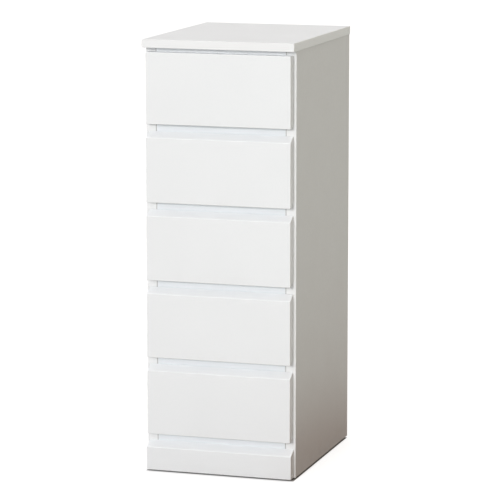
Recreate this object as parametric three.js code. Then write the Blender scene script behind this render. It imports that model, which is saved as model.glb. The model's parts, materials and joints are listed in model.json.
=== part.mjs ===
// A tall, slim chest of five drawers. The fronts have no handles: each one is pulled
// by its lower edge, through the finger gap above the bevelled front or plinth below it.
//
// Millimetres, +Z up, -Y is the front. The origin is on the floor under the middle of the
// chest. "left" and "right" are as seen from the front, so left is -X.
// Every length is a multiple of 0.25 mm, so that pieces that touch share one exact plane.

import * as THREE from "three";

// Overall size.
const TOTAL_HEIGHT = 835;
const TOTAL_DEPTH = 390;
const TOP_WIDTH = 300;

// Boards.
const TOP_THICKNESS = 16;
const SIDE_THICKNESS = 20;
const FRONT_THICKNESS = 19;
const BOTTOM_THICKNESS = 12;
const BACK_THICKNESS = 3;

// The top board stands this far past the side panels, and past the drawer fronts.
const TOP_OVERHANG = 1.5;
// The drawer fronts and the plinth lie on the carcass, and their faces stand this far forward of it.
const FRONT_PROJECTION = 20;

// Drawers and the gaps between them.
const DRAWER_COUNT = 5;
const DRAWER_PITCH = 150;
const LOWEST_FRONT_BOTTOM = 74.5;
const FINGER_GAP = 15;
const TOP_GAP = 8;
const FRONT_INSET = 5.5;

// Section of a drawer front: a bevel along the top, and a chamfer behind the lower lip.
const BEVEL_HEIGHT = 11;
const LIP_THICKNESS = 8;
const CHAMFER_HEIGHT = 10;

// Plinth.
const PLINTH_INSET = 3.5;
const PLINTH_REAR_THICKNESS = 16;
const PLINTH_REAR_SETBACK = 4;

// Floor glides under the side panels.
const GLIDE_HEIGHT = 3.5;
const GLIDE_RADIUS = 8;
const GLIDE_SEGMENTS = 32;
const GLIDE_FRONT_SETBACK = 23.5;
const GLIDE_REAR_SETBACK = 25;

// Rails between the side panels, and the wooden strips that the drawers run on.
const RAIL_DEPTH = 20;
const RAIL_BELOW_FRONT = 20;
const RAIL_ABOVE_FRONT = 10;
const TOP_RAIL_HEIGHT = 20;
const REAR_RAIL_DEPTH = 16;
const RUNNER_WIDTH = 14;
const RUNNER_HEIGHT = 20;

// Rebate along the rear edge of each side panel, which holds the back panel.
const REBATE_WIDTH = 8;
const REBATE_DEPTH = 3.5;
const BACK_SIDE_CLEARANCE = 0.5;

// Drawer boxes.
const BOX_THICKNESS = 12;
const BOX_DEPTH = 350;
const BOX_TOP = 116;
const BOX_SIDE_CLEARANCE = 1.5;
const RUNNING_CLEARANCE = 0.5;
const DRAWER_BOTTOM_THICKNESS = 3;
const GROOVE_ABOVE_EDGE = 10;
const GROOVE_HEIGHT = 3.5;
const GROOVE_DEPTH = 6;
const GROOVE_END_CLEARANCE = 0.5;

// Planes across the chest, front to back.
const REAR_Y = TOTAL_DEPTH / 2;
const TOP_FRONT_Y = -TOTAL_DEPTH / 2;
const FRONT_FACE_Y = TOP_FRONT_Y + TOP_OVERHANG;
const CARCASS_FRONT_Y = FRONT_FACE_Y + FRONT_PROJECTION;
const FRONT_REAR_Y = FRONT_FACE_Y + FRONT_THICKNESS;
const BACK_PANEL_FRONT_Y = REAR_Y - REBATE_DEPTH;
const RAIL_REAR_Y = CARCASS_FRONT_Y + RAIL_DEPTH;

// Planes from side to side, on the right half.
const SIDE_OUTER_X = TOP_WIDTH / 2 - TOP_OVERHANG;
const SIDE_INNER_X = SIDE_OUTER_X - SIDE_THICKNESS;
const FRONT_HALF_WIDTH = SIDE_OUTER_X - FRONT_INSET;
const PLINTH_HALF_WIDTH = SIDE_OUTER_X - PLINTH_INSET;

// Levels.
const TOP_UNDERSIDE = TOTAL_HEIGHT - TOP_THICKNESS;
const PLINTH_TOP = LOWEST_FRONT_BOTTOM - FINGER_GAP;
const BOTTOM_TOP = LOWEST_FRONT_BOTTOM - RAIL_BELOW_FRONT;
const BOTTOM_UNDERSIDE = BOTTOM_TOP - BOTTOM_THICKNESS;
const FRONT_HEIGHT = DRAWER_PITCH - FINGER_GAP;

// Height of the lower edge of a drawer's front. Drawer 1 is the top one.
function frontBottom(drawer) {
  return LOWEST_FRONT_BOTTOM + (DRAWER_COUNT - drawer) * DRAWER_PITCH;
}

// Materials. Every mesh gets one of its own.

function paintedWhite() {
  return new THREE.MeshStandardMaterial({ color: 0xeceded, roughness: 0.45, metalness: 0 });
}

function whiteFront() {
  return new THREE.MeshStandardMaterial({ color: 0xf0f0ee, roughness: 0.4, metalness: 0 });
}

function drawerBoard() {
  return new THREE.MeshStandardMaterial({ color: 0xe4e2dc, roughness: 0.6, metalness: 0 });
}

function drawerBottomBoard() {
  return new THREE.MeshStandardMaterial({ color: 0xe8e7e3, roughness: 0.7, metalness: 0 });
}

function fibreBoard() {
  return new THREE.MeshStandardMaterial({ color: 0x9a7a56, roughness: 0.85, metalness: 0 });
}

function runnerWood() {
  return new THREE.MeshStandardMaterial({ color: 0xc8a97c, roughness: 0.65, metalness: 0 });
}

function glidePlastic() {
  return new THREE.MeshStandardMaterial({ color: 0x3a3938, roughness: 0.55, metalness: 0 });
}

// Shapes.

// A square-edged board between two planes along each axis.
function addBoard(group, name, material, [x0, x1], [y0, y1], [z0, z1]) {
  const board = new THREE.Mesh(new THREE.BoxGeometry(x1 - x0, y1 - y0, z1 - z0), material);
  board.name = name;
  board.position.set((x0 + x1) / 2, (y0 + y1) / 2, (z0 + z1) / 2);
  group.add(board);
}

// A closed outline of [across, up] points, extruded by a length along its own Z.
function extrudeOutline(points, length) {
  const shape = new THREE.Shape(points.map(([across, up]) => new THREE.Vector2(across, up)));
  return new THREE.ExtrudeGeometry(shape, { depth: length, bevelEnabled: false });
}

// A board of constant [y, z] section that runs from -halfLength to +halfLength along X.
function addBoardAlongX(group, name, material, section, halfLength) {
  const geometry = extrudeOutline(section, 2 * halfLength);
  const turn = new THREE.Matrix4().makeBasis(
    new THREE.Vector3(0, 1, 0),
    new THREE.Vector3(0, 0, 1),
    new THREE.Vector3(1, 0, 0),
  );
  geometry.applyMatrix4(turn);
  const board = new THREE.Mesh(geometry, material);
  board.name = name;
  board.position.x = -halfLength;
  group.add(board);
}

// A board of constant [x, z] section that runs back from frontY by a length along Y.
function addBoardAlongY(group, name, material, section, frontY, length) {
  const geometry = extrudeOutline(section, length);
  const turn = new THREE.Matrix4().makeBasis(
    new THREE.Vector3(1, 0, 0),
    new THREE.Vector3(0, 0, 1),
    new THREE.Vector3(0, -1, 0),
  );
  geometry.applyMatrix4(turn);
  const board = new THREE.Mesh(geometry, material);
  board.name = name;
  board.position.y = frontY + length;
  group.add(board);
}

// Carcass.

function addTopPanel(group) {
  const halfWidth = TOP_WIDTH / 2;
  addBoard(group, "top_panel", paintedWhite(), [-halfWidth, halfWidth], [TOP_FRONT_Y, REAR_Y], [
    TOP_UNDERSIDE,
    TOTAL_HEIGHT,
  ]);
}

// An upright panel with a rebate along its inner rear edge. side is -1 for left, 1 for right.
function addSidePanel(group, name, side) {
  const rebateX = SIDE_INNER_X + REBATE_WIDTH;
  const outline = [
    [side * SIDE_INNER_X, CARCASS_FRONT_Y],
    [side * SIDE_OUTER_X, CARCASS_FRONT_Y],
    [side * SIDE_OUTER_X, REAR_Y],
    [side * rebateX, REAR_Y],
    [side * rebateX, BACK_PANEL_FRONT_Y],
    [side * SIDE_INNER_X, BACK_PANEL_FRONT_Y],
  ];
  const panel = new THREE.Mesh(
    extrudeOutline(outline, TOP_UNDERSIDE - GLIDE_HEIGHT),
    paintedWhite(),
  );
  panel.name = name;
  panel.position.z = GLIDE_HEIGHT;
  group.add(panel);
}

// A thin board in the side panels' rebates, from the bottom panel's underside to the top panel.
function addBackPanel(group) {
  const halfWidth = SIDE_INNER_X + REBATE_WIDTH - BACK_SIDE_CLEARANCE;
  const rearY = BACK_PANEL_FRONT_Y + BACK_THICKNESS;
  addBoard(group, "back_panel", fibreBoard(), [-halfWidth, halfWidth], [BACK_PANEL_FRONT_Y, rearY], [
    BOTTOM_UNDERSIDE,
    TOP_UNDERSIDE,
  ]);
}

function addBottomPanel(group) {
  addBoard(
    group,
    "bottom_panel",
    paintedWhite(),
    [-SIDE_INNER_X, SIDE_INNER_X],
    [CARCASS_FRONT_Y, BACK_PANEL_FRONT_Y],
    [BOTTOM_UNDERSIDE, BOTTOM_TOP],
  );
}

// The board across the foot of the chest, with the same bevel along its top as the drawer fronts.
function addPlinthBoard(group) {
  const section = [
    [FRONT_FACE_Y, GLIDE_HEIGHT],
    [CARCASS_FRONT_Y, GLIDE_HEIGHT],
    [CARCASS_FRONT_Y, PLINTH_TOP],
    [FRONT_FACE_Y, PLINTH_TOP - BEVEL_HEIGHT],
  ];
  addBoardAlongX(group, "plinth_board", whiteFront(), section, PLINTH_HALF_WIDTH);
}

function addPlinthRearRail(group) {
  const rearY = BACK_PANEL_FRONT_Y - PLINTH_REAR_SETBACK;
  addBoard(
    group,
    "plinth_rear_rail",
    paintedWhite(),
    [-SIDE_INNER_X, SIDE_INNER_X],
    [rearY - PLINTH_REAR_THICKNESS, rearY],
    [GLIDE_HEIGHT, BOTTOM_UNDERSIDE],
  );
}

// A rail between the side panels, flush with their front edges.
function addFrontRail(group, name, low, high) {
  addBoard(
    group,
    name,
    paintedWhite(),
    [-SIDE_INNER_X, SIDE_INNER_X],
    [CARCASS_FRONT_Y, RAIL_REAR_Y],
    [low, high],
  );
}

// One rail behind each finger gap, and one at the front and one at the rear under the top panel.
function addRails(group) {
  addFrontRail(group, "rail_top_front", TOP_UNDERSIDE - TOP_RAIL_HEIGHT, TOP_UNDERSIDE);
  addBoard(
    group,
    "rail_top_rear",
    paintedWhite(),
    [-SIDE_INNER_X, SIDE_INNER_X],
    [BACK_PANEL_FRONT_Y - REAR_RAIL_DEPTH, BACK_PANEL_FRONT_Y],
    [TOP_UNDERSIDE - TOP_RAIL_HEIGHT, TOP_UNDERSIDE],
  );
  for (let drawer = 1; drawer <= DRAWER_COUNT; drawer++) {
    const name = drawer < DRAWER_COUNT ? `rail_${drawer}_${drawer + 1}` : "rail_bottom_front";
    const level = frontBottom(drawer);
    addFrontRail(group, name, level - RAIL_BELOW_FRONT, level + RAIL_ABOVE_FRONT);
  }
}

// Two strips under each drawer box, level with the top of the rail in front of them.
function addRunners(group) {
  for (let drawer = 1; drawer <= DRAWER_COUNT; drawer++) {
    const top = frontBottom(drawer) + RAIL_ABOVE_FRONT;
    const inner = SIDE_INNER_X - RUNNER_WIDTH;
    const along = [RAIL_REAR_Y, BACK_PANEL_FRONT_Y];
    const up = [top - RUNNER_HEIGHT, top];
    addBoard(group, `runner_${drawer}_left`, runnerWood(), [-SIDE_INNER_X, -inner], along, up);
    addBoard(group, `runner_${drawer}_right`, runnerWood(), [inner, SIDE_INNER_X], along, up);
  }
}

// A round pad under a side panel.
function addGlide(group, name, x, y) {
  const outline = new THREE.Shape();
  outline.absarc(0, 0, GLIDE_RADIUS, 0, 2 * Math.PI, false);
  const geometry = new THREE.ExtrudeGeometry(outline, {
    depth: GLIDE_HEIGHT,
    bevelEnabled: false,
    curveSegments: GLIDE_SEGMENTS,
  });
  const glide = new THREE.Mesh(geometry, glidePlastic());
  glide.name = name;
  glide.position.set(x, y, 0);
  group.add(glide);
}

function addGlides(group) {
  const x = SIDE_OUTER_X - SIDE_THICKNESS / 2;
  const frontY = CARCASS_FRONT_Y + GLIDE_FRONT_SETBACK;
  const rearY = REAR_Y - GLIDE_REAR_SETBACK;
  addGlide(group, "glide_front_left", -x, frontY);
  addGlide(group, "glide_front_right", x, frontY);
  addGlide(group, "glide_rear_left", -x, rearY);
  addGlide(group, "glide_rear_right", x, rearY);
}

function buildCarcass() {
  const carcass = new THREE.Group();
  addTopPanel(carcass);
  addSidePanel(carcass, "side_panel_left", -1);
  addSidePanel(carcass, "side_panel_right", 1);
  addBackPanel(carcass);
  addBottomPanel(carcass);
  addPlinthBoard(carcass);
  addPlinthRearRail(carcass);
  addRails(carcass);
  addRunners(carcass);
  addGlides(carcass);
  return carcass;
}

// Drawers. Inside a drawer's group, Z is measured from the lower edge of its front.

const BOX_LOW = RAIL_ABOVE_FRONT + RUNNING_CLEARANCE;
const BOX_OUTER_X = SIDE_INNER_X - BOX_SIDE_CLEARANCE;
const BOX_INNER_X = BOX_OUTER_X - BOX_THICKNESS;
const BOX_REAR_Y = FRONT_REAR_Y + BOX_DEPTH;
const GROOVE_LOW = BOX_LOW + GROOVE_ABOVE_EDGE;
const GROOVE_HIGH = GROOVE_LOW + GROOVE_HEIGHT;
const DRAWER_BOTTOM_TOP = GROOVE_LOW + DRAWER_BOTTOM_THICKNESS;

// The front of drawer 1 ends square under the top panel. The others are bevelled like the plinth.
function addDrawerFront(group, drawer) {
  const square = drawer === 1;
  const top = square ? TOP_UNDERSIDE - TOP_GAP - frontBottom(drawer) : FRONT_HEIGHT;
  const faceTop = square ? top : top - BEVEL_HEIGHT;
  const section = [
    [FRONT_FACE_Y, 0],
    [FRONT_FACE_Y + LIP_THICKNESS, 0],
    [FRONT_REAR_Y, CHAMFER_HEIGHT],
    [FRONT_REAR_Y, top],
    [FRONT_FACE_Y, faceTop],
  ];
  addBoardAlongX(group, `drawer_${drawer}_front`, whiteFront(), section, FRONT_HALF_WIDTH);
}

// The board behind the front, grooved for the drawer's bottom.
function addBoxFront(group, drawer) {
  const rearY = FRONT_REAR_Y + BOX_THICKNESS;
  const section = [
    [FRONT_REAR_Y, BOX_LOW],
    [rearY, BOX_LOW],
    [rearY, GROOVE_LOW],
    [rearY - GROOVE_DEPTH, GROOVE_LOW],
    [rearY - GROOVE_DEPTH, GROOVE_HIGH],
    [rearY, GROOVE_HIGH],
    [rearY, BOX_TOP],
    [FRONT_REAR_Y, BOX_TOP],
  ];
  addBoardAlongX(group, `drawer_${drawer}_box_front`, drawerBoard(), section, BOX_INNER_X);
}

// A side of the box, grooved on its inner face. side is -1 for left, 1 for right.
function addBoxSide(group, name, side) {
  const grooveX = BOX_INNER_X + GROOVE_DEPTH;
  const section = [
    [side * BOX_OUTER_X, BOX_LOW],
    [side * BOX_OUTER_X, BOX_TOP],
    [side * BOX_INNER_X, BOX_TOP],
    [side * BOX_INNER_X, GROOVE_HIGH],
    [side * grooveX, GROOVE_HIGH],
    [side * grooveX, GROOVE_LOW],
    [side * BOX_INNER_X, GROOVE_LOW],
    [side * BOX_INNER_X, BOX_LOW],
  ];
  addBoardAlongY(group, name, drawerBoard(), section, FRONT_REAR_Y, BOX_DEPTH);
}

// The rear of the box stands on the drawer's bottom.
function addBoxBack(group, drawer) {
  addBoard(
    group,
    `drawer_${drawer}_box_back`,
    drawerBoard(),
    [-BOX_INNER_X, BOX_INNER_X],
    [BOX_REAR_Y - BOX_THICKNESS, BOX_REAR_Y],
    [DRAWER_BOTTOM_TOP, BOX_TOP],
  );
}

// The drawer's bottom lies in the grooves and runs back under the rear of the box.
function addDrawerBottom(group, drawer) {
  const reach = GROOVE_DEPTH - GROOVE_END_CLEARANCE;
  const halfWidth = BOX_INNER_X + reach;
  const frontY = FRONT_REAR_Y + BOX_THICKNESS - reach;
  addBoard(
    group,
    `drawer_${drawer}_bottom`,
    drawerBottomBoard(),
    [-halfWidth, halfWidth],
    [frontY, BOX_REAR_Y],
    [GROOVE_LOW, DRAWER_BOTTOM_TOP],
  );
}

function buildDrawer(drawer) {
  const group = new THREE.Group();
  group.position.z = frontBottom(drawer);
  addDrawerFront(group, drawer);
  addBoxFront(group, drawer);
  addBoxSide(group, `drawer_${drawer}_box_side_left`, -1);
  addBoxSide(group, `drawer_${drawer}_box_side_right`, 1);
  addBoxBack(group, drawer);
  addDrawerBottom(group, drawer);
  return group;
}

const chest = new THREE.Group();
chest.add(buildCarcass());
for (let drawer = 1; drawer <= DRAWER_COUNT; drawer++) {
  chest.add(buildDrawer(drawer));
}

export default chest;
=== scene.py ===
"""Materials, fixings, light and camera for a tall slim chest of five drawers.

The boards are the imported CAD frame's own. Lengths are in metres: +Z is up, -Y is the front, +X is right.
"""

import json
import math

import bmesh
import bpy
from mathutils import Matrix, Vector


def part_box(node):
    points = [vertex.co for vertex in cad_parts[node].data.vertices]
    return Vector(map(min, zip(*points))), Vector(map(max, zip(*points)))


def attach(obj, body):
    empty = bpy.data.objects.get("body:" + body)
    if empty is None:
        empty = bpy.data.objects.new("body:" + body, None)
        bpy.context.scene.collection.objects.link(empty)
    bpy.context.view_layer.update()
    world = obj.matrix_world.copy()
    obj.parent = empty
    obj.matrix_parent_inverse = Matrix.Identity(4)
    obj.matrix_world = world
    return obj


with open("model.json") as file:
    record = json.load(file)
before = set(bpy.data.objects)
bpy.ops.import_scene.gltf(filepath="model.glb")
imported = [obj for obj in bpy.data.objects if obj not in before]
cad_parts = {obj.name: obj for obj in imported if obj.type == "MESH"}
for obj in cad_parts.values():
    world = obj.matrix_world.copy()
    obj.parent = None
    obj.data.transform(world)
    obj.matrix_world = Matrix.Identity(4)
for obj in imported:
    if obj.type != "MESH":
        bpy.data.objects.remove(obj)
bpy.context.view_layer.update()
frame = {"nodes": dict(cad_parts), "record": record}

RECORD = frame["record"]
SLOT_OF = {s["node"]: s["material_slot"] for s in RECORD["subparts"]}
DRAWERS = sorted(b for b in RECORD["behaviour"]["bodies"] if b.startswith("drawer_"))

MM = 0.001

# Node helpers.

# The colour sockets of a Mix node, by number, because its sockets share their names.
MIX_A = 6
MIX_B = 7
MIX_RESULT = 2


class Tree:
    """A material's node tree, with short calls for the nodes this script uses."""

    def __init__(self, name):
        self.material = bpy.data.materials.new(name)
        self.material.use_nodes = True
        self.tree = self.material.node_tree
        self.tree.nodes.clear()
        self.output = self.node("ShaderNodeOutputMaterial")
        self.shader = self.node("ShaderNodeBsdfPrincipled")
        self.link(self.shader.outputs["BSDF"], self.output.inputs["Surface"])
        self.place = self.node("ShaderNodeTexCoord").outputs["Object"]

    def link(self, source, target):
        self.tree.links.new(source, target)

    def node(self, kind, **settings):
        made = self.tree.nodes.new(kind)
        for key, value in settings.items():
            setattr(made, key, value)
        return made

    def feed(self, socket, value):
        """A number, colour or vector is set on the socket, and another node's output is linked to it."""
        if isinstance(value, bpy.types.NodeSocket):
            self.link(value, socket)
        else:
            socket.default_value = value

    def math(self, operation, a, b=0.0):
        made = self.node("ShaderNodeMath", operation=operation)
        self.feed(made.inputs[0], a)
        self.feed(made.inputs[1], b)
        return made.outputs[0]

    def times(self, *values):
        """The product of two or more values."""
        product = values[0]
        for value in values[1:]:
            product = self.math("MULTIPLY", product, value)
        return product

    def size_of(self, value):
        """A value without its sign."""
        return self.math("ABSOLUTE", value)

    def vector(self, operation, a, b=(0.0, 0.0, 0.0)):
        made = self.node("ShaderNodeVectorMath", operation=operation)
        self.feed(made.inputs[0], a)
        self.feed(made.inputs[1], b)
        return made.outputs[0]

    def split(self, vector):
        """A vector's X, Y and Z."""
        made = self.node("ShaderNodeSeparateXYZ")
        self.feed(made.inputs[0], vector)
        return made.outputs

    def stretch(self, scale, offset=(0.0, 0.0, 0.0)):
        """The object's coordinates, stretched, so that a texture runs along an axis."""
        made = self.node("ShaderNodeMapping")
        self.link(self.place, made.inputs["Vector"])
        made.inputs["Scale"].default_value = scale
        made.inputs["Location"].default_value = offset
        return made.outputs[0]

    def noise(self, size, detail=2.0, roughness=0.5, where=None, distortion=0.0):
        """Noise from 0 to 1 whose features are about this many metres across."""
        made = self.node("ShaderNodeTexNoise")
        self.link(where or self.place, made.inputs["Vector"])
        made.inputs["Scale"].default_value = 1 / size
        made.inputs["Detail"].default_value = detail
        made.inputs["Roughness"].default_value = roughness
        made.inputs["Distortion"].default_value = distortion
        return made.outputs["Fac"]

    def span(self, value, low, high, to_low=0.0, to_high=1.0):
        """Maps low..high of a value smoothly to to_low..to_high, clamped."""
        made = self.node("ShaderNodeMapRange", clamp=True)
        made.interpolation_type = "SMOOTHSTEP"
        self.feed(made.inputs["Value"], value)
        made.inputs["From Min"].default_value = low
        made.inputs["From Max"].default_value = high
        made.inputs["To Min"].default_value = to_low
        made.inputs["To Max"].default_value = to_high
        return made.outputs["Result"]

    def mix(self, amount, a, b):
        """The colour a where the amount is 0, and b where it is 1."""
        made = self.node("ShaderNodeMix", data_type="RGBA")
        self.feed(made.inputs["Factor"], amount)
        self.feed(made.inputs[MIX_A], a)
        self.feed(made.inputs[MIX_B], b)
        return made.outputs[MIX_RESULT]

    def ramp(self, value, stops):
        """A colour ramp with [position, colour] stops."""
        made = self.node("ShaderNodeValToRGB")
        self.link(value, made.inputs["Fac"])
        elements = made.color_ramp.elements
        while len(elements) < len(stops):
            elements.new(1.0)
        for element, (position, colour) in zip(elements, stops):
            element.position = position
            element.color = colour
        return made.outputs["Color"]

    def bump(self, height, depth, strength, normal=None):
        """A normal bent by a height from 0 to 1, over another normal where one is given."""
        made = self.node("ShaderNodeBump")
        self.link(height, made.inputs["Height"])
        made.inputs["Distance"].default_value = depth
        made.inputs["Strength"].default_value = strength
        if normal is not None:
            self.link(normal, made.inputs["Normal"])
        return made.outputs["Normal"]

    def facing(self):
        """The face's normal in the object's own space, as X, Y and Z."""
        made = self.node("ShaderNodeNewGeometry")
        turn = self.node(
            "ShaderNodeVectorTransform",
            vector_type="NORMAL",
            convert_from="WORLD",
            convert_to="OBJECT",
        )
        self.link(made.outputs["True Normal"], turn.inputs[0])
        return self.split(turn.outputs[0])

    def edge_distance(self, low, high):
        """How far a point on a board's surface is from the board's nearest edge, in metres."""
        centre = (low + high) / 2
        half = (high - low) / 2
        away = self.vector("ABSOLUTE", self.vector("SUBTRACT", self.place, tuple(centre)))
        x, y, z = self.split(self.vector("SUBTRACT", tuple(half), away))
        lesser = self.math("MINIMUM", x, y)
        greater = self.math("MAXIMUM", x, y)
        return self.math("MAXIMUM", lesser, self.math("MINIMUM", greater, z))

    def finish(self, colour, roughness, normal=None):
        """Feeds the shader, and returns the material."""
        self.feed(self.shader.inputs["Base Color"], colour)
        self.feed(self.shader.inputs["Roughness"], roughness)
        if normal is not None:
            self.link(normal, self.shader.inputs["Normal"])
        return self.material


def rgb(red, green, blue, tone=1.0):
    """A colour, made darker or lighter by a tone other than 1."""
    return (red * tone, green * tone, blue * tone, 1.0)


def grey(value, warmth):
    """A colour near white or grey. A positive warmth lifts red and lowers blue."""
    return rgb(value * (1 + warmth), value, value * (1 - warmth))


# What the surfaces of the boards are made from.

# A face looks squarely along an axis where its normal reaches this far along it.
SQUARELY = 0.9


def looks_back(t, facing):
    """1 on the faces that look to the rear."""
    return t.math("GREATER_THAN", facing["Y"], SQUARELY)


def looks_down(t, facing):
    """1 on the faces that look to the floor."""
    return t.math("LESS_THAN", facing["Z"], -SQUARELY)


def waves(t, direction, pitch):
    """A wave texture of bands across one axis."""
    made = t.node("ShaderNodeTexWave", wave_type="BANDS", bands_direction=direction)
    t.link(t.place, made.inputs["Vector"])
    made.inputs["Scale"].default_value = 1 / pitch
    return made


CHIP_SIZE = 2.2 * MM


def chipboard(t):
    """Colour of a sawn chipboard edge: pale and dark chips."""
    chips = t.node("ShaderNodeTexVoronoi", feature="F1")
    t.link(t.place, chips.inputs["Vector"])
    chips.inputs["Scale"].default_value = 1 / CHIP_SIZE
    tone = t.split(chips.outputs["Color"])["X"]
    return t.ramp(
        tone,
        [
            (0.0, rgb(0.20, 0.12, 0.055)),
            (0.35, rgb(0.36, 0.24, 0.12)),
            (0.75, rgb(0.50, 0.36, 0.20)),
            (1.0, rgb(0.62, 0.48, 0.30)),
        ],
    )


CLOUD_SIZE = 140 * MM
GRAIN_SIZE = 2.5 * MM
SMEAR_SIZE = 45 * MM
PEEL_SIZE = 1.6 * MM
WAVE_SIZE = 60 * MM
WAVE_DEPTH = 0.06 * MM
# An arris is fully worn and paler, partly as a painted highlight, as far as this from the board's edge.
FULL_WEAR_AND_HIGHLIGHT = 0.2 * MM
PALEST_WEAR_AND_HIGHLIGHT = 0.97


def white_surface(t, edge, tone, warmth, peel, roughness, edge_wear_and_highlight, edge_width):
    """A smooth white skin: cloudy tone, paler arrises of wear and painted highlight, faint orange peel and
    slow waves.

    edge is the distance from the board's edge, and peel is the depth of the orange peel. The arrises are
    edge_width wide, worn and paler by edge_wear_and_highlight, partly as a painted highlight. Returns the
    colour, the roughness and the normal.
    """
    clouds = t.noise(CLOUD_SIZE, detail=3.0)
    grain = t.noise(GRAIN_SIZE, detail=2.0)
    smears = t.noise(SMEAR_SIZE, detail=4.0, roughness=0.6, distortion=0.6)
    base = t.mix(t.span(clouds, 0.3, 0.7), grey(tone * 0.985, warmth), grey(tone, warmth))
    base = t.mix(t.span(grain, 0.35, 0.75, 0.0, 0.35), base, grey(tone * 0.97, warmth * 1.6))
    # The arrises are paler as wear and partly as a painted highlight, and rougher as wear.
    worn_and_highlit = t.span(edge, FULL_WEAR_AND_HIGHLIGHT, edge_width, 1.0, 0.0)
    ragged_wear_and_highlight = t.times(worn_and_highlit, t.span(grain, 0.25, 0.6, 0.7, 1.0))
    base = t.mix(ragged_wear_and_highlight, base, grey(min(tone * (1 + edge_wear_and_highlight), PALEST_WEAR_AND_HIGHLIGHT), warmth * 0.5))
    smeared = t.span(smears, 0.3, 0.75, roughness - 0.05, roughness + 0.07)
    rough = t.math("ADD", smeared, t.times(worn_and_highlit, 0.06))
    normal = t.bump(t.noise(PEEL_SIZE, detail=1.0), peel, 0.6)
    normal = t.bump(t.noise(WAVE_SIZE, detail=2.0), WAVE_DEPTH, 0.5, normal)
    return base, rough, normal


# The white laminate of the carcass.

# Tone and warmth of the white laminate, by the start of the node's name: the first that fits is taken.
# The side panels are a shade greyer, partly as painted shade, and the rails a cooler, darker white, as
# painted shade in the gaps.
# The top rail is lighter, as painted light in the dark top gap, and the top is lighter, partly as painted
# light.
LAMINATE_TONE_AND_PAINTED_LIGHT = {
    "side_panel": (0.81, -0.002),
    "top_panel": (0.91, -0.018),
    "rail_top": (0.96, -0.020),
    "rail": (0.845, -0.034),
    "": (0.86, -0.014),
}

# The edge banding has a white of its own. On the top's two ends it is painted brighter, as a painted
# highlight.
BANDING = grey(0.86, -0.008)
TOP_ENDS_PAINTED_HIGHLIGHT = grey(0.97, -0.012)
MOTTLE_SIZE = 5 * MM
# The seam between the banding and the board is a hairline between these distances from the edge.
SEAM_START = 0.7 * MM
SEAM_END = 1.2 * MM
SEAM_BLUR = 0.2 * MM
SEAM_COLOUR = grey(0.6, 0.03)
# Painted shade in a crack is darkest as far as the first distance from the joint, and gone at the second.
CRACK_DARKEST = 0.5 * MM
CRACK_GONE = 1.1 * MM
CRACK_SHADE_COLOUR = grey(0.30, 0.03)
# Darker, warmer patches on the lowest part of the side panels.
LOW_PATCH_HEIGHT = 70 * MM
LOW_PATCH_SIZE = 18 * MM
LOW_PATCH_COLOUR = grey(0.66, 0.035)
# On a sawn face the chipboard starts to show at the first distance from the edge, and shows fully at
# the second.
CORE_STARTS = 0.35 * MM
CORE_FULL = 0.6 * MM
SAW_MARK_SIZE = 1.8 * MM
SAW_MARK_DEPTH = 0.25 * MM


def banded_edges(t, node, base, facing):
    """The edge banding of a side panel or the top, on every face but the two broad ones."""
    is_top = node == "top_panel"
    broad = facing["Z"] if is_top else facing["X"]
    banded = t.span(t.size_of(broad), 0.3, 0.6, 1.0, 0.0)
    colour = BANDING
    # The top's two ends get a brighter white, as a painted highlight.
    if is_top:
        colour = t.mix(t.span(t.size_of(facing["X"]), 0.6, 0.9), BANDING, TOP_ENDS_PAINTED_HIGHLIGHT)
    return t.mix(banded, base, colour)


def shade_in_side_cracks(t, base, facing):
    """Painted shade in the thin crack where each rail meets the side panels, on the faces that look
    forward.
    """
    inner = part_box("side_panel_right")[0].x
    aside = t.size_of(t.split(t.place)["X"])
    away = t.size_of(t.math("SUBTRACT", aside, inner))
    forward = t.math("LESS_THAN", facing["Y"], -0.1)
    crack = t.times(t.span(away, CRACK_DARKEST, CRACK_GONE, 1.0, 0.0), forward)
    return t.mix(t.times(crack, 0.62), base, CRACK_SHADE_COLOUR)


def darker_patches_low_down(t, base, bottom):
    """Faint darker, warmer patches on the lowest part of a side panel, fading out upwards."""
    low_down = t.span(t.split(t.place)["Z"], bottom, bottom + LOW_PATCH_HEIGHT, 0.30, 0.0)
    patches = t.span(t.noise(LOW_PATCH_SIZE, detail=4.0, roughness=0.65), 0.35, 0.7)
    return t.mix(t.times(low_down, patches), base, LOW_PATCH_COLOUR)


def sawn_faces(t, node, facing):
    """1 on a carcass board's faces that are bare chipboard, or None for a board that has none."""
    if node.startswith("side_panel"):
        return t.math("MAXIMUM", looks_down(t, facing), looks_back(t, facing))
    if node == "top_panel":
        return looks_back(t, facing)
    if node in ("plinth_rear_rail", "bottom_panel"):
        return looks_down(t, facing)
    return None


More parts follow.
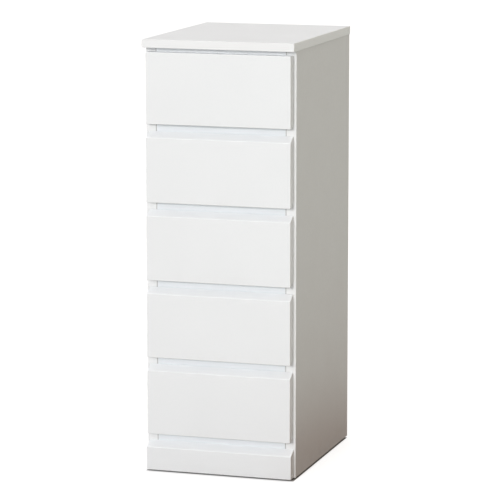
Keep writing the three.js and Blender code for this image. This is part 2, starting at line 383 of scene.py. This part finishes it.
def carcass_white(node):
    """White laminate with banded edges. Sawn chipboard shows on the faces that nobody sees."""
    t = Tree("white_laminate_" + node)
    low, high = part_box(node)
    is_side = node.startswith("side_panel")
    tone, warmth = next(look for start, look in LAMINATE_TONE_AND_PAINTED_LIGHT.items() if node.startswith(start))
    edge = t.edge_distance(low, high)
    facing = t.facing()
    base, rough, normal = white_surface(
        t,
        edge,
        tone=tone,
        warmth=warmth,
        peel=0.012 * MM,
        roughness=0.42,
        edge_wear_and_highlight=0.03,
        edge_width=1.8 * MM,
    )
    if is_side:
        # The broad sides are finely mottled.
        mottle = t.span(t.noise(MOTTLE_SIZE, detail=3.0), 0.3, 0.7, 0.0, 0.8)
        base = t.mix(mottle, base, grey(tone * 0.96, warmth))
    past_start = t.span(edge, SEAM_START, SEAM_START + SEAM_BLUR)
    before_end = t.span(edge, SEAM_END - SEAM_BLUR, SEAM_END, 1.0, 0.0)
    base = t.mix(t.times(past_start, before_end, 0.25), base, SEAM_COLOUR)
    if is_side or node == "top_panel":
        base = banded_edges(t, node, base, facing)
    # Painted shade in the cracks where the rails meet the side panels.
    if is_side or node.startswith("rail"):
        base = shade_in_side_cracks(t, base, facing)
    # Darker, warmer patches near the floor.
    if is_side:
        base = darker_patches_low_down(t, base, low.z)
    sawn = sawn_faces(t, node, facing)
    if sawn is not None:
        # The white skin shows as a thin line on both long sides of a sawn face.
        core = t.times(sawn, t.span(edge, CORE_STARTS, CORE_FULL))
        base = t.mix(core, base, chipboard(t))
        rough = t.math("ADD", rough, t.times(core, 0.4))
        saw_marks = t.times(core, t.noise(SAW_MARK_SIZE, detail=3.0))
        normal = t.bump(saw_marks, SAW_MARK_DEPTH, 0.8, normal)
    t.shader.inputs["Coat Weight"].default_value = 0.08
    t.shader.inputs["Coat Roughness"].default_value = 0.35
    return t.finish(base, rough, normal)


# The white foil of the fronts and the plinth.

# The bevel's whiter, cooler white is a painted highlight.
BEVEL_PAINTED_HIGHLIGHT = grey(0.975, -0.024)
SOILED_WHITE = grey(0.70, 0.03)
SOILED_PATCH = 14 * MM
# Hands touch the lowest part of a front, mostly in its middle.
TOUCHED_HEIGHT = 26 * MM
TOUCHED_MOST = 25 * MM
TOUCHED_LEAST = 120 * MM


def front_white(node):
    """Satin foil over the face, the bevel and the ends, a little polished and soiled where it is pulled."""
    t = Tree("white_foil_" + node)
    low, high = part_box(node)
    edge = t.edge_distance(low, high)
    base, rough, normal = white_surface(
        t,
        edge,
        tone=0.865,
        warmth=-0.015,
        peel=0.008 * MM,
        roughness=0.38,
        edge_wear_and_highlight=0.03,
        edge_width=2.5 * MM,
    )
    # The bevel, which looks up and forward, is painted a shade whiter and cooler than the face, as a
    # painted highlight.
    base = t.mix(t.span(t.facing()["Z"], 0.15, 0.35), base, BEVEL_PAINTED_HIGHLIGHT)
    x, _, z = t.split(t.place)
    lower = t.span(z, low.z, low.z + TOUCHED_HEIGHT, 1.0, 0.0)
    middle = t.span(t.size_of(x), TOUCHED_MOST, TOUCHED_LEAST, 1.0, 0.15)
    patches = t.span(t.noise(SOILED_PATCH, detail=4.0), 0.35, 0.7)
    touched = t.times(lower, middle, patches)
    base = t.mix(t.times(touched, 0.10), base, SOILED_WHITE)
    rough = t.math("SUBTRACT", rough, t.times(touched, 0.06))
    t.shader.inputs["Coat Weight"].default_value = 0.15
    t.shader.inputs["Coat Roughness"].default_value = 0.28
    return t.finish(base, rough, normal)


# The foil of the drawer boxes.

THREAD_PITCH = 3.2 * MM
THREAD_DEPTH = 0.015 * MM


def drawer_white(node):
    """Matt off-white foil with a fine linen emboss on the boards of a drawer box."""
    t = Tree("drawer_foil_" + node)
    low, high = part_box(node)
    edge = t.edge_distance(low, high)
    base, rough, normal = white_surface(
        t,
        edge,
        tone=0.76,
        warmth=0.02,
        peel=0.010 * MM,
        roughness=0.56,
        edge_wear_and_highlight=0.05,
        edge_width=1.2 * MM,
    )
    threads = waves(t, "Z", THREAD_PITCH)
    threads.inputs["Distortion"].default_value = 1.5
    threads.inputs["Detail"].default_value = 2.0
    normal = t.bump(threads.outputs["Fac"], THREAD_DEPTH, 0.5, normal)
    sawn = looks_back(t, t.facing()) if "box_side" in node else looks_down(t, t.facing())
    core = t.times(sawn, t.span(edge, 0.3 * MM, 0.5 * MM))
    base = t.mix(core, base, chipboard(t))
    rough = t.math("ADD", rough, t.times(core, 0.3))
    return t.finish(base, rough, normal)


# The hardboard of the back panel and the drawer bottoms.

FIBRE_SIZE = 3 * MM
HARDBOARD_PATCH = 70 * MM
# The press leaves a square mesh on the rough side.
MESH_PITCH = 5.5 * MM
MESH_DEPTH = 0.12 * MM
FUZZ_SIZE = 2 * MM


def hardboard_brown(t, tone):
    """Colour of plain hardboard: brown felted fibres, darker in patches."""
    fibres = t.noise(FIBRE_SIZE, detail=6.0, roughness=0.7, distortion=1.2)
    patches = t.noise(HARDBOARD_PATCH, detail=3.0)
    fine = t.ramp(
        fibres,
        [
            (0.25, rgb(0.17, 0.10, 0.052, tone)),
            (0.5, rgb(0.30, 0.19, 0.105, tone)),
            (0.75, rgb(0.42, 0.285, 0.17, tone)),
        ],
    )
    return t.mix(t.span(patches, 0.35, 0.7, 0.0, 0.35), fine, rgb(0.22, 0.135, 0.07, tone))


def painted_hardboard(node, axis, way, tone):
    """Thin hardboard, painted white on the face that looks one way along an axis, and bare elsewhere."""
    t = Tree("hardboard_" + node)
    low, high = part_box(node)
    edge = t.edge_distance(low, high)
    white, rough, normal = white_surface(
        t,
        edge,
        tone=0.80,
        warmth=0.01,
        peel=0.02 * MM,
        roughness=0.5,
        edge_wear_and_highlight=0.0,
        edge_width=1.0 * MM,
    )
    painted = t.math("GREATER_THAN", t.times(t.facing()[axis], way), 0.5)
    bare = t.math("SUBTRACT", 1.0, painted)
    base = t.mix(bare, white, hardboard_brown(t, tone))
    rough = t.math("ADD", rough, t.times(bare, 0.3))
    mesh = t.times(waves(t, "X", MESH_PITCH).outputs["Fac"], waves(t, "Z", MESH_PITCH).outputs["Fac"])
    rough_side = t.times(bare, t.math("ADD", mesh, t.noise(FUZZ_SIZE, detail=4.0)))
    normal = t.bump(rough_side, MESH_DEPTH, 0.7, normal)
    return t.finish(base, rough, normal)


def drawer_bottom_board(node):
    """A drawer's bottom, white on top."""
    return painted_hardboard(node, "Z", 1.0, 1.0)


def back_board(node):
    """The back panel, white on the face towards the drawers."""
    return painted_hardboard(node, "Y", -1.0, 1.05)


# The wooden runners.

RING_SIZE = 9 * MM
RINGS_PER_NOISE = 7.0
PORE_SIZE = 1.2 * MM
PORE_DEPTH = 0.05 * MM
WOOD_ARRIS = 1.5 * MM
EARLY_WOOD = rgb(0.60, 0.42, 0.22)
# The letters of a strip's name move its grain by this much each, so that no two strips are alike.
LETTER_SHIFT = 0.137


def planed_wood(node):
    """Pale planed softwood with its grain along the strip."""
    t = Tree("wood_" + node)
    seed = sum(ord(letter) for letter in node) * LETTER_SHIFT
    along_rings = t.stretch((1.0, 0.04, 1.0), (seed, seed, seed))
    along_pores = t.stretch((1.0, 0.03, 1.0), (seed, 0, seed))
    rings = t.noise(RING_SIZE, detail=3.0, distortion=0.8, where=along_rings)
    pores = t.noise(PORE_SIZE, detail=2.0, where=along_pores)
    lines = t.math("FRACT", t.times(rings, RINGS_PER_NOISE))
    colour = t.ramp(
        lines,
        [
            (0.0, EARLY_WOOD),
            (0.55, rgb(0.52, 0.345, 0.17)),
            (0.85, rgb(0.36, 0.215, 0.095)),
            (1.0, EARLY_WOOD),
        ],
    )
    colour = t.mix(t.span(pores, 0.55, 0.8, 0.0, 0.5), colour, rgb(0.30, 0.18, 0.08))
    low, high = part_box(node)
    arris = t.span(t.edge_distance(low, high), 0.0, WOOD_ARRIS, 0.35, 0.0)
    colour = t.mix(arris, colour, rgb(0.66, 0.50, 0.31))
    rough = t.span(pores, 0.3, 0.8, 0.55, 0.75)
    return t.finish(colour, rough, t.bump(pores, PORE_DEPTH, 0.6))


# Plastic, steel and silicone.


def glide_plastic(node):
    """Dark moulded plastic with a fine eroded texture."""
    t = Tree("glide_" + node)
    speckle = t.noise(0.5 * MM, detail=2.0)
    scuffs = t.noise(5 * MM, detail=5.0, roughness=0.7)
    dark, plain, scuffed = [rgb(0.06, 0.058, 0.055, tone) for tone in (0.75, 1.0, 1.5)]
    base = t.mix(t.span(speckle, 0.3, 0.7), dark, plain)
    base = t.mix(t.span(scuffs, 0.6, 0.8, 0.0, 0.4), base, scuffed)
    rough = t.span(scuffs, 0.3, 0.8, 0.42, 0.62)
    return t.finish(base, rough, t.bump(speckle, 0.03 * MM, 0.6))


def zinc_steel():
    """Bright zinc-plated steel of small screws and nails, dulled in places."""
    t = Tree("zinc_steel")
    brushed = t.noise(0.4 * MM, detail=2.0, where=t.stretch((1.0, 1.0, 0.2)))
    tarnish = t.noise(3 * MM, detail=4.0)
    base = t.mix(t.span(tarnish, 0.4, 0.75), rgb(0.62, 0.62, 0.60), rgb(0.40, 0.39, 0.36))
    t.shader.inputs["Metallic"].default_value = 1.0
    rough = t.span(tarnish, 0.3, 0.8, 0.28, 0.5)
    return t.finish(base, rough, t.bump(brushed, 0.01 * MM, 0.4))


def milky_silicone():
    """Milky clear silicone of the small stop pads."""
    t = Tree("milky_silicone")
    clouds = t.noise(2 * MM, detail=3.0)
    base = t.mix(clouds, rgb(0.72, 0.73, 0.72), rgb(0.84, 0.85, 0.84))
    t.shader.inputs["Subsurface Weight"].default_value = 0.2
    t.shader.inputs["Subsurface Scale"].default_value = 2 * MM
    return t.finish(base, t.span(clouds, 0.3, 0.7, 0.3, 0.45), t.bump(clouds, 0.02 * MM, 0.4))


# The frame's own boards.

# For each material slot, the finish and how far the arrises are rounded.
FINISH = {
    "white_board": (carcass_white, 0.7 * MM),
    "white_front": (front_white, 1.2 * MM),
    "drawer_board": (drawer_white, 0.6 * MM),
    "drawer_bottom_board": (drawer_bottom_board, 0.15 * MM),
    "back_fibreboard": (back_board, 0.2 * MM),
    "runner_wood": (planed_wood, 1.0 * MM),
    "glide_plastic": (glide_plastic, 0.6 * MM),
}
WELD_REACH = 0.002 * MM
ARRIS_SEGMENTS = 3
# Edges that turn by more than this are rounded.
SHARP_EDGE = math.radians(25)


def smooth_shading():
    """A modifier's node group that shades every face smooth, so that the rounded arrises look round."""
    group = bpy.data.node_groups.new("smooth_shading", "GeometryNodeTree")
    group.interface.new_socket("Geometry", in_out="INPUT", socket_type="NodeSocketGeometry")
    group.interface.new_socket("Geometry", in_out="OUTPUT", socket_type="NodeSocketGeometry")
    start = group.nodes.new("NodeGroupInput")
    smooth = group.nodes.new("GeometryNodeSetShadeSmooth")
    end = group.nodes.new("NodeGroupOutput")
    group.links.new(start.outputs[0], smooth.inputs["Geometry"])
    group.links.new(smooth.outputs["Geometry"], end.inputs[0])
    return group


SMOOTH = smooth_shading()


def round_arrises(piece, width):
    """Joins the split corners of the solid, then rounds its sharp edges and evens out the shading."""
    weld = piece.modifiers.new("weld", "WELD")
    weld.merge_threshold = WELD_REACH
    bevel = piece.modifiers.new("arris", "BEVEL")
    bevel.width = width
    bevel.segments = ARRIS_SEGMENTS
    bevel.limit_method = "ANGLE"
    bevel.angle_limit = SHARP_EDGE
    # Sliding along the neighbouring edges would push some corners out of the board.
    bevel.loop_slide = False
    shade = piece.modifiers.new("shade", "NODES")
    shade.node_group = SMOOTH
    even = piece.modifiers.new("even", "WEIGHTED_NORMAL")
    even.keep_sharp = False


for node, piece in frame["nodes"].items():
    finish, arris = FINISH[SLOT_OF[node]]
    piece.data.materials.clear()
    piece.data.materials.append(finish(node))
    round_arrises(piece, arris)

# Shapes of the small fixings.


def on_circle(radius, height, i, segments):
    """One of a circle's evenly spaced points."""
    angle = 2 * math.pi * i / segments
    return Vector((radius * math.cos(angle), radius * math.sin(angle), height))


def lathe(mesh, profile, segments, matrix):
    """Turns a closed [radius, height] profile round Z, from one point on the axis to the other."""
    rings = []
    for radius, height in profile:
        count = segments if radius > 0 else 1
        points = [matrix @ on_circle(radius, height, i, segments) for i in range(count)]
        rings.append([mesh.verts.new(point) for point in points])
    for below, above in zip(rings, rings[1:]):
        for i in range(segments):
            around = ((below, i), (below, i + 1), (above, i + 1), (above, i))
            corners = [ring[k % len(ring)] for ring, k in around]
            unique = list(dict.fromkeys(corners))
            if len(unique) > 2:
                mesh.faces.new(unique)


def cross_outline(arm, half):
    """The twelve corners of a plus sign, anticlockwise."""
    quarter = [(half, -half), (arm, -half), (arm, half)]
    points = []
    # The cosine and sine of each quarter turn.
    for c, s in [(1, 0), (0, 1), (-1, 0), (0, -1)]:
        points += [(c * x - s * y, s * x + c * y) for x, y in quarter]
    return points


SCREW_RADIUS = 3.4 * MM
SCREW_PROUD = 0.35 * MM
SCREW_SINK = 1.6 * MM
SCREW_SEGMENTS = 24
# The rim of the head is chamfered by so much inwards and downwards.
RIM_CHAMFER = 0.3 * MM
RIM_DROP = 0.2 * MM
RECESS_ARM = 1.75 * MM
RECESS_HALF = 0.42 * MM
RECESS_DEPTH = 1.1 * MM
# The recess's floor is smaller than its mouth, by these factors along X and Y.
RECESS_TAPER = (0.7, 0.8)


def add_screw_head(mesh, matrix):
    """A countersunk head with a cross recess. Z points out of the board, and Z 0 is its surface."""

    def corner(point):
        return mesh.verts.new(matrix @ Vector(point))

    def closed_line(ring):
        return [mesh.edges.new(pair) for pair in zip(ring, ring[1:] + ring[:1])]

    def wall(below, above):
        for i in range(len(below)):
            j = (i + 1) % len(below)
            mesh.faces.new((below[i], below[j], above[j], above[i]))

    top = SCREW_PROUD
    rim = []
    shoulder = []
    for i in range(SCREW_SEGMENTS):
        rim.append(corner(on_circle(SCREW_RADIUS - RIM_CHAMFER, top, i, SCREW_SEGMENTS)))
        shoulder.append(corner(on_circle(SCREW_RADIUS, top - RIM_DROP, i, SCREW_SEGMENTS)))
    outline = cross_outline(RECESS_ARM, RECESS_HALF)
    lip = [corner((x, y, top)) for x, y in outline]
    pit = [corner((x * RECESS_TAPER[0], y * RECESS_TAPER[1], top - RECESS_DEPTH)) for x, y in outline]
    edges = closed_line(rim) + closed_line(lip)
    bmesh.ops.triangle_fill(mesh, edges=edges, use_beauty=True)
    wall(shoulder, rim)
    tip = corner((0, 0, -SCREW_SINK))
    for i in range(SCREW_SEGMENTS):
        mesh.faces.new((tip, shoulder[(i + 1) % SCREW_SEGMENTS], shoulder[i]))
    wall(pit, lip)
    mesh.faces.new(pit)


NAIL_SEGMENTS = 16
NAIL_PROFILE = [
    (0.0, -1.2 * MM),
    (0.9 * MM, -1.2 * MM),
    (2.1 * MM, -0.05 * MM),
    (2.3 * MM, 0.08 * MM),
    (2.1 * MM, 0.28 * MM),
    (1.2 * MM, 0.38 * MM),
    (0.0, 0.42 * MM),
]

PAD_SEGMENTS = 24
PAD_PROFILE = [
    (0.0, -0.2 * MM),
    (4.0 * MM, -0.2 * MM),
    (4.0 * MM, 0.2 * MM),
    (3.5 * MM, 0.55 * MM),
    (2.2 * MM, 0.75 * MM),
    (0.0, 0.8 * MM),
]

# Making and placing the fixings.

# Edges of a fixing that turn by more than this look sharp.
SHARP_ON_FIXING = math.radians(35)


def add_mesh(name, mesh, material):
    """An object from finished mesh code."""
    data = bpy.data.meshes.new(name)
    mesh.to_mesh(data)
    mesh.free()
    data.materials.append(material)
    made = bpy.data.objects.new(name, data)
    bpy.context.scene.collection.objects.link(made)
    return made


def add_fixings(name, body, material, fill):
    """One piece of fixings that rides on a body. fill puts them into the mesh it is given."""
    mesh = bmesh.new()
    fill(mesh)
    bmesh.ops.recalc_face_normals(mesh, faces=mesh.faces)
    piece = add_mesh(name, mesh, material)
    for face in piece.data.polygons:
        face.use_smooth = True
    piece.data.set_sharp_from_angle(angle=SHARP_ON_FIXING)
    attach(piece, body)


def outward(point, direction, spin=0.0):
    """A matrix that stands a head at a point, with its Z along a direction."""
    turn = Vector(direction).to_track_quat("Z", "Y").to_matrix().to_4x4()
    return Matrix.Translation(point) @ turn @ Matrix.Rotation(spin, 4, "Z")


def halfway(low, high):
    """The number midway between two."""
    return (low + high) / 2


def spread(low, high, count):
    """Evenly spaced numbers from low to high."""
    return [low + (high - low) * i / (count - 1) for i in range(count)]


# Uneven factors and a quarter turn, after which a cross recess looks the same.
SPIN_FACTORS = (913.7, 411.3, 677.9)
QUARTER_TURN = math.pi / 2


def spin_of(*numbers):
    """A fixed, uneven turn for each screw, as screws end up at any angle."""
    return math.fmod(sum(abs(n) * k for n, k in zip(numbers, SPIN_FACTORS)), QUARTER_TURN)


STEEL = zinc_steel()
SILICONE = milky_silicone()

# Screws through the box front into the drawer front, from the middle and from the box front's two edges.
FRONT_SCREW_ASIDE = 60 * MM
FRONT_SCREW_BELOW_TOP = 24 * MM
FRONT_SCREW_ABOVE_BOTTOM = 30 * MM
# Screws through the box sides into the ends of the box front and the box back.
SIDE_SCREW_BELOW_TOP = 20 * MM
SIDE_SCREW_ABOVE_BOTTOM = 34 * MM
# Nails through the drawer bottom into the box back.
BOTTOM_NAIL_REACH = 95 * MM
BOTTOM_NAIL_COUNT = 4
# Stop pads on the rear of the drawer front, above the box front and in from the front's ends.
PAD_ABOVE_BOX = 7 * MM
PAD_FROM_END = 13 * MM
# Nails through the back panel: a column into each side panel, and a row into the rail and the bottom.
COLUMN_INSET = 3.5 * MM
COLUMN_FROM_END = 25 * MM
COLUMN_COUNT = 8
ROW_FROM_END = 45 * MM
ROW_COUNT = 4


def drawer_screws(body):
    """Four screws in the drawer's front, and four in each of its sides."""
    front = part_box(body + "_box_front")
    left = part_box(body + "_box_side_left")
    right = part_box(body + "_box_side_right")
    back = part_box(body + "_box_back")
    bottom, top = front[0].z, front[1].z

    def fill(mesh):
        for x in (-FRONT_SCREW_ASIDE, FRONT_SCREW_ASIDE):
            for z in (top - FRONT_SCREW_BELOW_TOP, bottom + FRONT_SCREW_ABOVE_BOTTOM):
                point = Vector((x, front[1].y, z))
                add_screw_head(mesh, outward(point, (0, 1, 0), spin_of(x, z, 1)))
        for x, way in ((left[0].x, -1), (right[1].x, 1)):
            for y in (halfway(front[0].y, front[1].y), halfway(back[0].y, back[1].y)):
                for z in (top - SIDE_SCREW_BELOW_TOP, bottom + SIDE_SCREW_ABOVE_BOTTOM):
                    add_screw_head(mesh, outward(Vector((x, y, z)), (way, 0, 0), spin_of(x, y, z)))

    add_fixings(body + "_screws", body, STEEL, fill)


def drawer_nails(body):
    """A row of nails in the drawer's bottom."""
    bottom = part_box(body + "_bottom")
    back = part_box(body + "_box_back")
    y = halfway(back[0].y, back[1].y)

    def fill(mesh):
        for x in spread(-BOTTOM_NAIL_REACH, BOTTOM_NAIL_REACH, BOTTOM_NAIL_COUNT):
            point = Vector((x, y, bottom[0].z))
            lathe(mesh, NAIL_PROFILE, NAIL_SEGMENTS, outward(point, (0, 0, -1)))

    add_fixings(body + "_nails", body, STEEL, fill)


def drawer_pads(body):
    """Two stop pads on the rear of the drawer's front."""
    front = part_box(body + "_front")
    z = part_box(body + "_box_front")[1].z + PAD_ABOVE_BOX

    def fill(mesh):
        for x in (front[0].x + PAD_FROM_END, front[1].x - PAD_FROM_END):
            point = Vector((x, front[1].y, z))
            lathe(mesh, PAD_PROFILE, PAD_SEGMENTS, outward(point, (0, 1, 0)))

    add_fixings(body + "_stop_pads", body, SILICONE, fill)


def back_nails():
    """The nails round the back panel."""
    low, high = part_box("back_panel")
    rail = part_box("rail_top_rear")
    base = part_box("bottom_panel")

    def fill(mesh):
        spots = []
        for x in (low.x + COLUMN_INSET, high.x - COLUMN_INSET):
            heights = spread(low.z + COLUMN_FROM_END, high.z - COLUMN_FROM_END, COLUMN_COUNT)
            spots += [(x, z) for z in heights]
        for z in (halfway(rail[0].z, rail[1].z), halfway(base[0].z, base[1].z)):
            spots += [(x, z) for x in spread(low.x + ROW_FROM_END, high.x - ROW_FROM_END, ROW_COUNT)]
        for x, z in spots:
            point = Vector((x, high.y, z))
            lathe(mesh, NAIL_PROFILE, NAIL_SEGMENTS, outward(point, (0, 1, 0)))

    add_fixings("back_panel_nails", "carcass", STEEL, fill)


for body in DRAWERS:
    drawer_screws(body)
    drawer_nails(body)
    drawer_pads(body)
back_nails()

# Floor.

FLOOR_HALF = 40.0
FLOOR_CLOUD = 0.9
FLOOR_SEEN = (grey(0.45, 0.002), grey(0.47, 0.002))
FLOOR_GLOW = 0.70
# The gap under the chest darkens over this distance behind the plinth's face.
GAP_SHADE = 11 * MM
# The floor as the chest is lit by it: its colour near the chest and far away, and between which
# distances from the middle it changes. The left side is plain, and the right side is brown.
PLAIN_BOUNCE = (rgb(0.38, 0.38, 0.38), rgb(0.52, 0.52, 0.52))
PLAIN_REACH = (0.3, 1.6)
BROWN_BOUNCE = (rgb(0.09, 0.022, 0.0), rgb(0.575, 0.612, 0.59))
BROWN_REACH = (0.14, 0.90)
# The floor turns from plain to brown between these X.
BROWN_STARTS = (0.05, 0.25)


def floor_material():
    """A floor that the camera sees near-white, and that lights the chest as a darker floor does."""
    t = Tree("pale_floor")
    seen = t.mix(t.span(t.noise(FLOOR_CLOUD, detail=3.0), 0.3, 0.7), *FLOOR_SEEN)
    path = t.node("ShaderNodeLightPath").outputs["Is Camera Ray"]
    far = t.node("ShaderNodeVectorMath", operation="LENGTH")
    t.link(t.place, far.inputs[0])
    x, y, _ = t.split(t.place)
    plain = t.mix(t.span(far.outputs["Value"], *PLAIN_REACH), *PLAIN_BOUNCE)
    brown = t.mix(t.span(far.outputs["Value"], *BROWN_REACH), *BROWN_BOUNCE)
    bounced = t.mix(t.span(x, *BROWN_STARTS), plain, brown)
    colour = t.mix(path, bounced, seen)
    # The glow that keeps the floor white stops at the chest's own footprint, so the gap under it is dark.
    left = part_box("side_panel_left")[0]
    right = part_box("side_panel_right")[1]
    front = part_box("plinth_board")[0].y
    across = t.times(t.math("GREATER_THAN", x, left.x), t.math("LESS_THAN", x, right.x))
    along = t.times(t.span(y, front, front + GAP_SHADE), t.math("LESS_THAN", y, right.y))
    open_floor = t.math("SUBTRACT", 1.0, t.times(across, along))
    t.shader.inputs["Specular IOR Level"].default_value = 0.0
    t.shader.inputs["Emission Color"].default_value = rgb(1, 1, 1)
    t.link(t.times(path, open_floor, FLOOR_GLOW), t.shader.inputs["Emission Strength"])
    return t.finish(colour, 0.9)


def add_floor():
    """A wide square floor, which isn't part of the object."""
    mesh = bmesh.new()
    corners = [(-1, -1), (1, -1), (1, 1), (-1, 1)]
    mesh.faces.new([mesh.verts.new((x * FLOOR_HALF, y * FLOOR_HALF, 0)) for x, y in corners])
    add_mesh("floor", mesh, floor_material())


# Light.

# Each sun's strength, its width in degrees, and the azimuth and elevation that it shines from.
SUNS = {
    "key": (1.04, 10, -4, 14),
    "front_fill": (0.72, 42, -2, 22),
    "top_light": (1.11, 50, 176, 62),
}
# The world's light on the chest from the left and from the right, and how far aside it's fully either.
WORLD_LEFT = rgb(0.53, 0.54, 0.555)
WORLD_RIGHT = rgb(0.43, 0.375, 0.315)
WORLD_TURN = 0.6


def towards(azimuth, elevation):
    """A direction, in degrees: azimuth 0 is the front, and a positive azimuth is to the right."""
    a = math.radians(azimuth)
    e = math.radians(elevation)
    return Vector((math.sin(a) * math.cos(e), -math.cos(a) * math.cos(e), math.sin(e)))


def add_looking_from(source, name, data):
    """An object for a light or a camera, turned to look from a direction."""
    made = bpy.data.objects.new(name, data)
    bpy.context.scene.collection.objects.link(made)
    made.rotation_mode = "QUATERNION"
    made.rotation_quaternion = source.to_track_quat("Z", "Y")
    return made


def add_sun(name, strength, width, azimuth, elevation):
    """A sun that shines from an azimuth and an elevation."""
    light = bpy.data.lights.new(name, "SUN")
    light.energy = strength
    light.angle = math.radians(width)
    add_looking_from(towards(azimuth, elevation), name, light)


def add_world():
    """White behind everything. The light from it is dimmer, cool on the left and warm on the right."""
    world = bpy.data.worlds.new("studio")
    bpy.context.scene.world = world
    world.use_nodes = True
    tree = world.node_tree
    tree.nodes.clear()
    output = tree.nodes.new("ShaderNodeOutputWorld")
    background = tree.nodes.new("ShaderNodeBackground")
    path = tree.nodes.new("ShaderNodeLightPath")
    place = tree.nodes.new("ShaderNodeTexCoord")
    split = tree.nodes.new("ShaderNodeSeparateXYZ")
    rightward = tree.nodes.new("ShaderNodeMapRange")
    tint = tree.nodes.new("ShaderNodeMix")
    shown = tree.nodes.new("ShaderNodeMix")
    for mix in (tint, shown):
        mix.data_type = "RGBA"
    tree.links.new(place.outputs["Generated"], split.inputs[0])
    tree.links.new(split.outputs["X"], rightward.inputs["Value"])
    rightward.inputs["From Min"].default_value = -WORLD_TURN
    rightward.inputs["From Max"].default_value = WORLD_TURN
    tree.links.new(rightward.outputs["Result"], tint.inputs["Factor"])
    tint.inputs[MIX_A].default_value = WORLD_LEFT
    tint.inputs[MIX_B].default_value = WORLD_RIGHT
    tree.links.new(path.outputs["Is Camera Ray"], shown.inputs["Factor"])
    tree.links.new(tint.outputs[MIX_RESULT], shown.inputs[MIX_A])
    shown.inputs[MIX_B].default_value = rgb(1, 1, 1)
    tree.links.new(shown.outputs[MIX_RESULT], background.inputs["Color"])
    tree.links.new(background.outputs[0], output.inputs["Surface"])


# Camera.

CAMERA_AIM = Vector((0.0524, -0.1571, 0.4368))
CAMERA_AZIMUTH = 17.42
CAMERA_ELEVATION = 9.53
CAMERA_DISTANCE = 5.4
SENSOR_WIDTH = 36.0
LENS = 205.0
# Everything in view is nearer than this, the floor's far corners too.
CLIP_END = 200.0


def add_camera():
    """The camera at the photo's angle."""
    data = bpy.data.cameras.new("camera")
    data.sensor_width = SENSOR_WIDTH
    data.lens = LENS
    data.clip_end = CLIP_END
    back = towards(CAMERA_AZIMUTH, CAMERA_ELEVATION)
    camera = add_looking_from(back, "camera", data)
    camera.location = CAMERA_AIM + back * CAMERA_DISTANCE
    bpy.context.scene.camera = camera


add_floor()
add_world()
for name, sun in SUNS.items():
    add_sun(name, *sun)
add_camera()
bpy.context.scene.view_settings.view_transform = "Standard"
